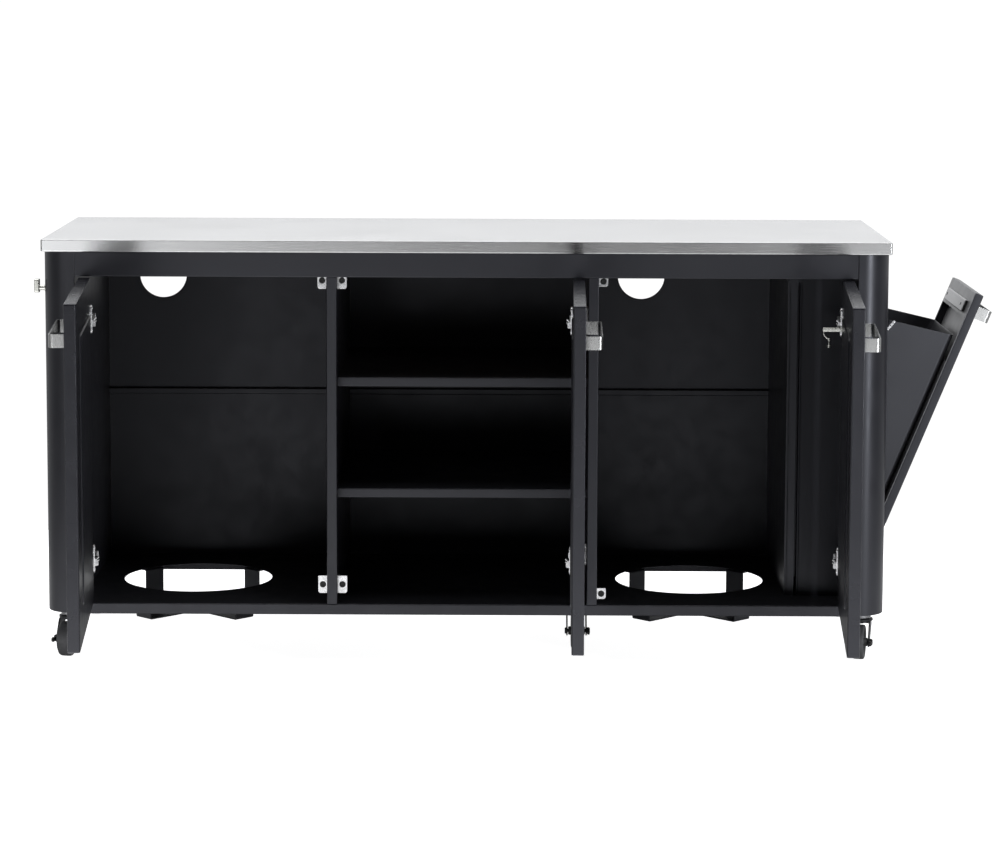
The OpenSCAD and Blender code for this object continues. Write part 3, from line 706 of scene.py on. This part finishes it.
# hook on the left side
stem = lathe([(0, -1), (5.5, -1), (5.5, 13.4), (4.9, 13.8), (0, 13.8)], 32, T(-HW, 62, 800.5) @ FACE_XB)
rose = lathe([(0, 0), (8.5, 0), (8.5, 0.8), (7.6, 1.6), (0, 1.6)], 32, T(-HW, 62, 800.5) @ FACE_XB)
knob = prism(rrect(52.1, 790.6, 71.9, 819.4, 3.4, 5), "x", -923.4, -913.1, 1.3, 3)
make("left_side_knob", "cabinet", M_HOOK, [stem, rose, knob], ["side_hook"])

# pins and studs that hardly show keep their shape
for n in ("shelf_pins", "cradle_screws", "bin_pivot_pins"):
    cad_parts[n].data.materials.clear()
    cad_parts[n].data.materials.append(M_ZINC)
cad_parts["top_rear_rail"].data.materials.clear()
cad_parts["top_rear_rail"].data.materials.append(M_COAT)

# under-floor rails and the bottle cradles
ur = [prism(fold([(206, 126.4), (206, POST), (278, POST), (278, 126.4)], 2.0, 3.0), "y", 19, BACK - 2.5)]
for a, b in ((-XI + 1.8, 205.6), (278.4, XI - 1.8)):
    ur.append(prism(fold([(498, 126.4), (498, POST), (520, POST), (520, 126.4)], 2.0, 3.0), "x", a, b))
make("under_floor_rails", "cabinet", M_COAT, ur, ["under_rails"])
cr = []
for x in WELLS:
    for a in (45, 135):
        path = [(-192, 123.5), (-158, 123.5), (-158, 57.0), (158, 57.0), (158, 123.5), (192, 123.5)]
        s = prism(fold(path, 3.0, 4.0), "y", -25, 25, 0.5)
        cr.append(moved(s, T(x, WY) @ R(a, "Z")))
make("bottle_cradle_straps", "cabinet", M_COAT, cr, ["bottle_cradles"])


# ---------------------------------------------------------------- doors
def door(name, w):
    x0, x1 = -EDGE, w - EDGE
    body = name + "_door"
    tray = prism(rrect(x0, ZB, x1, ZT, 4.5, 5), "y", 0, 23.3, 1.8, 3, 60)
    make(body + "_tray", body, M_DOOR, [tray], [body + "_skin"])
    sheet = prism(rrect(x0 + 0.5, ZB + 0.5, x1 - 0.5, ZT - 0.5, 4.2, 5), "y", 21.6, DT, 0.9, 2, 60)
    pan_lo = rrect(x0 + 66, ZB + 74, x1 - 113, ZT - 74, 7, 6)
    pan_hi = rrect(x0 + 69, ZB + 77, x1 - 116, ZT - 77, 5, 6)
    pan = loft([[(u, DT - 1, v) for u, v in pan_lo], [(u, DT + 0.2, v) for u, v in pan_lo], [(u, DT + 3, v) for u, v in pan_hi]])
    pan = bevel(pan, 0.7, 2, 25)
    make(body + "_inner_sheet", body, M_DIN_SHADE, [sheet, pan], [body + "_liner"])
    # strip handle
    hx0 = x1 - 54 - 270
    strip = fold([(hx0, 0), (hx0, -34), (hx0 + 270, -34), (hx0 + 270, 0)], 3.0, 9.0)
    grip = prism(strip, "z", 735, 762, 0.45, 2, 60)
    make(body + "_grip", body, M_GRIP, [grip], [body + "_handle"])
    # hinge cups with flanges, screws and the short links that stay on the door
    gs = []
    for z in HZ:
        fl = plate(rrect(-10, -30.5, 10, 30.5, 7, 6), [], 4.5, 0.7, T(17.2, DT + 4.5, z) @ stand)
        cup = lathe([(0, -1), (17.3, -1), (17.3, 0.9), (16.6, 1.5), (15.4, 1.5), (15.0, 0.7), (0, 0.7)], 48, T(17.2, DT, z) @ FACE_YB)
        blk = prism(fillet([(DT + 1.5, -16), (DT + 11.4, -15), (DT + 11.4, -5), (DT + 8.5, -0.5), (DT + 1.5, 0)], [0.5, 2, 3, 2, 0.5], True, 4),
                    "x", -9.5, 5.5, 0.7)
        blk = moved(blk, T(17.2, 0, z))
        link1 = moved(block((-6.5, -1.3, -1.2), (3.0, 8.2, 1.2), 0.7), T(17.2, DT + 7, z - 2) @ R(42, "X"))
        link2 = moved(block((-5.0, -1.3, -1.0), (1.5, 6.2, 1.0), 0.6), T(17.2, DT + 7.5, z - 5) @ R(14, "X"))
        pin = lathe([(0, -7.5), (1.9, -7.5), (1.9, 6.5), (0, 6.5)], 20, T(17.2 - 1.5, DT + 8.4, z - 10) @ FACE_X)
        gs += [fl, cup, blk, link1, link2, pin]
        gs += [put_screw(T(17.2, DT + 4.4, z + s * 23) @ FACE_YB, 1.0) for s in (-1, 1)]
    make(body + "_hinge_cups", body, M_ZINC, gs, [body + "_hinges"])


door("left", DWL)
door("middle", DWM)
door("right", DWR)

# wire hook inside the right door
hp = plate(rrect(-8, 709.5, 8, 737.5, 3.5, 5), [], 1.8, 0.4, T(38, DT + 1.8, 0) @ stand)
bar = prism(rrect(33.6, 723.7, 42.4, 732.3, 1.6, 4), "y", DT + 1, DT + 41.8, 0.7)
ctl = [(38, 64.6, 725.5), (38, 65.2, 719.5), (38, 62.5, 714), (38, 58.0, 710), (38, 54.6, 707.1)]
w2 = [(38, 53.8, 707.1), (38, 53.2, 703.5), (38, 53.8, 699.5), (38, 53.8, 693.5)]
ball = lambda c, r: lathe([(0, r)] + [(r * math.sin(math.radians(a)), r * math.cos(math.radians(a))) for a in range(15, 180, 15)] + [(0, -r)], 24, T(*c))
make("right_door_wire_hook", "right_door", M_HOOK,
     [hp, bar, rod(ctl, 1.5), rod(w2, 1.5), ball((38, 53.8, 707.1), 3.3), ball((38, 53.8, 692.3), 3.7),
      put_screw(T(38, DT + 1.8, 714) @ FACE_YB, 0.9)], ["right_door_hook"])

# ---------------------------------------------------------------- tilt-out bin
panel = cut(block((HW - 18.6, BY0, BZ0), (HW, BY1, BZ1), 2.2, 3), block((HW - 19.5, BY0 + 1.6, BZ0 + 1.6), (HW - 1.6, BY1 - 1.6, BZ1 - 1.6), 0))
make("bin_panel_tray", "bin", M_COAT, [panel], ["bin_panel_skin"])
# the tray stays open between the tub's rim and the top band, and its inside shows there
inner = [cut(block((HW - 20, BY0 + 0.6, BZ0 + 0.6), (HW - 17.9, BY1 - 0.6, BZ1 - 0.6), 0.8, 2),
             block((HW - 21, BY0 + 3.4, 668), (HW - 17, BY1 - 3.4, 771.5), 0))]
inner.append(block((HW - 2.3, BY0 + 1.8, 640), (HW - 1.5, BY1 - 1.8, BZ1 - 1.8), 0.2))
make("bin_panel_inner_sheet", "bin", M_LINER, inner, ["bin_panel_liner"])
TX0, TX1, TY0, TY1, TZ0 = 730.0, 878.0, 140.0, 448.0, 278.0


def rim(x):
    return 699.9 + (x - 710) * math.tan(math.radians(8.9))


def tub_loop(t, z, r=12.0):
    return [(x, y, z if z is not None else 0) for x, y in rrect(TX0 + t, TY0 + t, TX1 - t, TY1 - t, r - t, 8)]


outer = [tub_loop(5, TZ0, 12), tub_loop(1.4, TZ0 + 1.4), tub_loop(0, TZ0 + 5)]
outer.append([(x, y, rim(x) - 1.0) for x, y, _ in tub_loop(0, 0)])
outer.append([(x, y, rim(x)) for x, y, _ in tub_loop(0.5, 0)])
outer.append([(x, y, rim(x)) for x, y, _ in tub_loop(1.2, 0)])
outer.append([(x, y, rim(x) - 1.0) for x, y, _ in tub_loop(1.6, 0)])
outer += [tub_loop(1.6, TZ0 + 6), tub_loop(3.0, TZ0 + 2.6), tub_loop(6.5, TZ0 + 1.6)]
tub = loft(outer)
strips = []
for z in (310, 640):
    strips.append(block((TX1 - 0.3, 200, z), (HW - 20.1, 388, z + 24), 0.4))
make("bin_tub_sheet", "bin", M_BIN, [tub, *strips], ["bin_tub"])
by = BY0 + (352 - 270) / 2
strip = fold([(HW, by + 270), (HW + 38.5, by + 270), (HW + 38.5, by), (HW, by)][::-1], 3.0, 9.0)
make("bin_grip", "bin", M_GRIP, [prism(strip, "z", 776, 803, 0.45, 2, 60)], ["bin_handle"])
ch = prism(fold_right([(HW - 20.1, 779), (HW - 27.5, 779), (HW - 27.5, 807), (HW - 20.1, 807)], 1.5, 2.6), "y", 155, 418)
slots = [prism(rrect(HW - 31, 789.5, HW - 24.5, 796.5, 0.6, 3), "y", y - 4.5, y + 4.5) for y in (193, 405)]
ch = bevel(cut(ch, *slots), 0.3, 1, 60)
make("bin_catch_rail", "bin", M_GALV, [ch], ["bin_catch_channel"])
stops = [block((HW - 25.9, y0, 780.7), (HW - 20.2, y1, 805.3), 0.8, 3) for y0, y1 in ((157, 203), (395, 416))]
make("bin_catch_block", "bin", M_PLAS, stops)
tilt = T(742.5, TY0, 694) @ R(17, "Y") @ stand
stay = plate(rrect(-2.6, -13, 2.6, 13, 2.5, 5), [ring(0, z, 1.1, 16)[::-1] for z in (-8, 0, 8)], 2.0, 0.4, tilt)
make("bin_stay_link", "bin", M_ZINC, [stay], ["bin_stay"])

# ---------------------------------------------------------------- castors
AX = 37.5
for n, (cx, cy, rot, mm) in CAST.items():
    fb, wb = "castor_" + n, "wheel_" + n + "_body"
    front = n.startswith("front")
    # fixed plate, drawn square to the cabinet
    hole = [ring(x, y, 3.2, 20)[::-1] for x in (-21, 21) for y in (-21, 21)]
    top = plate(rrect(-29, -29, 29, 29, 6, 5), hole, 3, 0.5, T(0, 0, POST - 3))
    boss = lathe([(22.0, 0.2), (22.0, -13.6), (21.4, -14.2), (21.4, -15.4), (21.9, -15.9), (21.0, -17.0), (5.0, -17.0), (5.0, -27.4), (7.6, -27.5),
                  (8.0, -28.2), (7.8, -29.6), (7.0, -30.0), (0, -30.0)], 56, T(0, 0, POST - 3))
    bolts = [moved(lathe([(0, -2.4), (4.6, -2.4), (5.0, -2.0), (5.0, 0), (0, 0)], 6), T(x, y, POST - 3)) for x in (-21, 21) for y in (-21, 21)]
    if n == "front_left":
        plates, bosses = [], []
    plates += [moved(g, T(cx, cy)) for g in (top, *bolts)]
    bosses.append(moved(boss, T(cx, cy)))
    # fork
    race = lathe([(5.2, 85.5), (24.8, 85.5), (26.4, 84.8), (26.4, 83.6), (25.2, 83.2), (25.2, 82.6), (26.4, 82.2), (26.4, 80.9), (25.2, 80.1),
                  (5.2, 79.9), (5.2, 85.5)], 56)
    leg = fillet([(-18, 80), (18, 80), (38.4, AX + 3), (39.2, AX - 6), (32, AX - 11.2), (20, AX - 8.6), (-18, 70)], [3, 6, 10, 9, 8, 9, 3], True, 5)
    legs = [plate(leg, [], 3.0, 0.6, T(s * 21 - 1.5, 0, 0) @ Matrix(((0, 0, 1, 0), (1, 0, 0, 0), (0, 1, 0, 0), (0, 0, 0, 1)))) for s in (-1, 1)]
    crown = prism(fillet([(-22.4, 71), (-22.4, 79.9), (22.4, 79.9), (22.4, 71), (19.6, 71), (19.6, 76.7), (-19.6, 76.7), (-19.6, 71)],
                         [0.3, 5, 5, 0.3, 0.3, 2.2, 2.2, 0.3], True, 4), "y", -17.5, 17.5, 0.4)
    crown = cut(crown, lathe([(0, 60), (5.5, 60), (5.5, 95), (0, 95)], 40))
    end = 28.9 if front else 26.8
    bolt = lathe([(0, -26), (5.4, -26), (6.6, -25), (7.0, -23.4), (7.0, -22.5), (4.0, -22.5), (4.0, end), (0, end)], 32, T(0, 28, AX) @ FACE_X)
    if front:
        nut = lathe([(0, 28.3), (6.2, 28.3), (6.5, 28.6), (6.3, 29.1), (5.2, 29.5), (0, 29.5)], 32, T(0, 28, AX) @ FACE_X)
    else:
        nut = lathe([(0, 22.6), (6.4, 22.6), (6.4, 25.4), (5.6, 26.0), (0, 26.0)], 6, T(0, 28, AX) @ FACE_X)
    make("castor_fork_" + n, fb, M_CAST, [race, crown, *legs, bolt, nut], ["fork_" + n])
    # wheel: tread on a webbed hub
    wr, ww = 37.5, 12.5
    tread = [(29.0, -ww + 1.2), (31.0, -ww), (34.4, -ww), (36.2, -ww + 0.9), (37.3, -ww + 2.8), (37.5, -ww + 6),
             (37.5, ww - 6), (37.3, ww - 2.8), (36.2, ww - 0.9), (34.4, ww), (31.0, ww), (29.0, ww - 1.2), (28.8, 0), (29.0, -ww + 1.2)]
    tr = lathe(tread, 80, T(0, 28, AX) @ FACE_X)
    hub = [(4.1, -18.4), (8.0, -18.4), (9.2, -17.4), (9.6, -10.0), (11.5, -7.2), (25.5, -7.2), (27.6, -9.6), (28.9, -11.0), (28.9, 11.0),
           (27.6, 9.6), (25.5, 7.2), (11.5, 7.2), (9.6, 10.0), (9.2, 17.4), (8.0, 18.4), (4.1, 18.4), (4.1, -18.4)]
    hb = lathe(hub, 64, T(0, 28, AX) @ FACE_X)
    spokes = []
    for k in range(6):
        sp = block((-9.0, -1.3, 9.5), (9.0, 1.3, 28.0), 0.6)
        spokes.append(moved(sp, T(0, 28, AX) @ R(60 * k, "X")))
    ob = make("castor_wheel_" + n, wb, M_TYRE, [tr], ["wheel_" + n])
    make("castor_hub_" + n, wb, M_HUB, [hb, *spokes])
    if front:
        m = n.split("_")[1]
        bb = "brake_" + m
        disc = lathe([(4.1, 22.8), (6.8, 22.8), (7.5, 23.5), (7.5, 27.2), (6.8, 28.0), (4.1, 28.0), (4.1, 22.8)], 40, T(0, 28, AX) @ FACE_X)
        arm = prism(fillet([(33.4, AX - 4.8), (52, AX - 4.2), (52, AX + 4.2), (33.4, AX + 4.8)], [1, 3, 3, 1], True, 4), "x", 22.9, 25.7, 0.6)
        tab = prism(fillet([(40.2, AX - 4.9), (51.8, AX - 4.9), (51.8, AX + 4.9), (40.2, AX + 4.9)], [2, 3.4, 3.4, 2], True, 4), "x", 23.2, 28.4, 1.0, 3)
        make("castor_brake_" + m, bb, M_PLAS, [disc, arm, tab], ["brake_lever_" + m])
make("castor_plates_top", "cabinet", M_CAST, plates, ["castor_plates"])
make("castor_bosses", "cabinet", M_BOSS, bosses)

# ---------------------------------------------------------------- floor, light and camera
fm, t, b, tc = new_mat("studio_floor")
b.inputs["Roughness"].default_value = 0.9
pale = noise(t, mapped(t, tc, (1, 1, 1)), 1.5, 2)
t.links.new(ramp(t, pale, 0.2, 0.8, (0.90, 0.90, 0.90), (0.93, 0.93, 0.93)), b.inputs["Base Color"])
b.inputs["Emission Color"].default_value = (1, 1, 1, 1)
lpf = t.nodes.new("ShaderNodeLightPath")
sepf = t.nodes.new("ShaderNodeSeparateXYZ")
t.links.new(tc.outputs["Object"], sepf.inputs[0])
floor_painted_glow = span(t, lpf.outputs["Is Camera Ray"], 0.4, 0.95, 0, 1)
# the floor is a painted light source for all rays but the camera's: a painted pool of light, brighter towards the left,
# that falls off to painted shadow under and behind the unit; the camera sees it evenly white
shade = t.nodes.new("ShaderNodeMath")
shade.operation = "MULTIPLY"
t.links.new(span(t, sepf.outputs["X"], 1.2, 0.42, -1.1, 1.1), shade.inputs[0])
t.links.new(span(t, sepf.outputs["Y"], 1.0, 0.12, -0.35, 0.0), shade.inputs[1])
t.links.new(shade.outputs[0], floor_painted_glow.node.inputs["To Min"])
t.links.new(floor_painted_glow, b.inputs["Emission Strength"])
bm = bmesh.new()
bmesh.ops.create_circle(bm, cap_ends=True, segments=96, radius=2.0)
me = bpy.data.meshes.new("floor_plane")
bm.to_mesh(me)
bm.free()
floor_ob = bpy.data.objects.new("floor_plane", me)
bpy.context.scene.collection.objects.link(floor_ob)
me.materials.append(fm)

w = bpy.data.worlds.new("studio")
bpy.context.scene.world = w
w.use_nodes = True
t = w.node_tree
t.nodes.clear()
out = t.nodes.new("ShaderNodeOutputWorld")
cam_bg = t.nodes.new("ShaderNodeBackground")
cam_bg.inputs[0].default_value = (1, 1, 1, 1)
cam_bg.inputs[1].default_value = 1.05
env = t.nodes.new("ShaderNodeBackground")
tcw = t.nodes.new("ShaderNodeTexCoord")
sep = t.nodes.new("ShaderNodeSeparateXYZ")
t.links.new(tcw.outputs["Generated"], sep.inputs[0])
# in front of the unit: a dark room between two bright walls, brighter on the left
fr = t.nodes.new("ShaderNodeValToRGB")
fr.color_ramp.elements[0].position = 0.0
fr.color_ramp.elements[1].position = 1.0
FRONT = [(-1.0, 0.14), (-0.45, 0.22), (-0.25, 1.0), (-0.15, 1.7), (-0.12, 0.90), (-0.09, 0.66), (-0.04, 0.29), (0.0, 0.20), (0.05, 0.10),
         (0.088, 0.05), (0.105, 0.62), (0.14, 1.1), (0.20, 0.60), (0.40, 0.24), (1.0, 0.12)]
for i, (x, v) in enumerate(FRONT):
    el = fr.color_ramp.elements[0] if i == 0 else fr.color_ramp.elements[-1] if i == len(FRONT) - 1 else fr.color_ramp.elements.new(x / 2 + 0.5)
    el.color = (v / 2, v / 2, v / 2, 1)
t.links.new(span(t, sep.outputs["X"], 0, 1, -1, 1), fr.inputs[0])
back = span(t, sep.outputs["Y"], 0, 1, -0.35, 0.45)
mixw = t.nodes.new("ShaderNodeMix")
mixw.data_type = "FLOAT"
t.links.new(back, mixw.inputs[0])
low = t.nodes.new("ShaderNodeMath")
low.operation = "MULTIPLY"
t.links.new(span(t, fr.outputs[0], 0, 2, 0, 1), low.inputs[0])
t.links.new(span(t, sep.outputs["Z"], 2.5, 0.05, -0.165, -0.055), low.inputs[1])
t.links.new(low.outputs[0], mixw.inputs[2])
t.links.new(span(t, sep.outputs["Z"], 0.40, 1.06, -0.07, 0.05), mixw.inputs[3])
t.links.new(mixw.outputs[0], env.inputs[1])
env.inputs[0].default_value = (0.975, 0.985, 1.0, 1)
lp = t.nodes.new("ShaderNodeLightPath")
mx = t.nodes.new("ShaderNodeMixShader")
t.links.new(lp.outputs["Is Camera Ray"], mx.inputs[0])
t.links.new(env.outputs[0], mx.inputs[1])
t.links.new(cam_bg.outputs[0], mx.inputs[2])
t.links.new(mx.outputs[0], out.inputs[0])


def softbox(name, loc, target, sx, sy, watts, color=(1, 1, 1)):
    d = bpy.data.lights.new(name, "AREA")
    d.shape = "RECTANGLE"
    d.size, d.size_y = sx, sy
    d.energy = watts
    d.color = color
    o = bpy.data.objects.new(name, d)
    bpy.context.scene.collection.objects.link(o)
    o.location = loc
    o.rotation_mode = "QUATERNION"
    o.rotation_quaternion = (Vector(target) - Vector(loc)).to_track_quat("-Z", "Y")
    return o


softbox("light_top", (0, -0.1, 3.4), (0, -0.1, 0), 3.6, 2.2, 60)
softbox("light_right", (2.35, -2.6, 1.2), (0.8, 0, 0.5), 0.26, 2.2, 66, (0.94, 0.965, 1.0))
softbox("light_left", (-3.2, -3.2, 1.4), (-0.6, 0, 0.5), 0.8, 2.2, 8)

cam = bpy.data.cameras.new("camera")
cam_ob = bpy.data.objects.new("camera", cam)
bpy.context.scene.collection.objects.link(cam_ob)
bpy.context.scene.camera = cam_ob
cam.sensor_fit = "HORIZONTAL"
cam.sensor_width = 36.0
cam.lens = 3.21025 * 36.0
cam.shift_x = 0.0
cam.shift_y = -(429.0 - 349.97) / 1000.0
yaw, pitch, roll = -0.001, 0.1207, -0.004
fwd = Vector((math.sin(yaw) * math.cos(pitch), math.cos(yaw) * math.cos(pitch), -math.sin(pitch)))
right = Vector((math.cos(yaw), -math.sin(yaw), 0))
down = fwd.cross(right)
r2 = right * math.cos(roll) + down * math.sin(roll)
d2 = -right * math.sin(roll) + down * math.cos(roll)
rot = Matrix((r2, -d2, -fwd)).transposed()
cam_ob.rotation_mode = "QUATERNION"
cam_ob.location = (TO_FRAME @ Vector((78.37, -6764.28, 1498.19)))
cam_ob.scale = (1, 1, 1)
cam_ob.rotation_quaternion = rot.to_quaternion()
cam.clip_start, cam.clip_end = 0.1, 200
bpy.context.scene.view_settings.view_transform = "Standard"
bpy.context.scene.view_settings.look = "None"
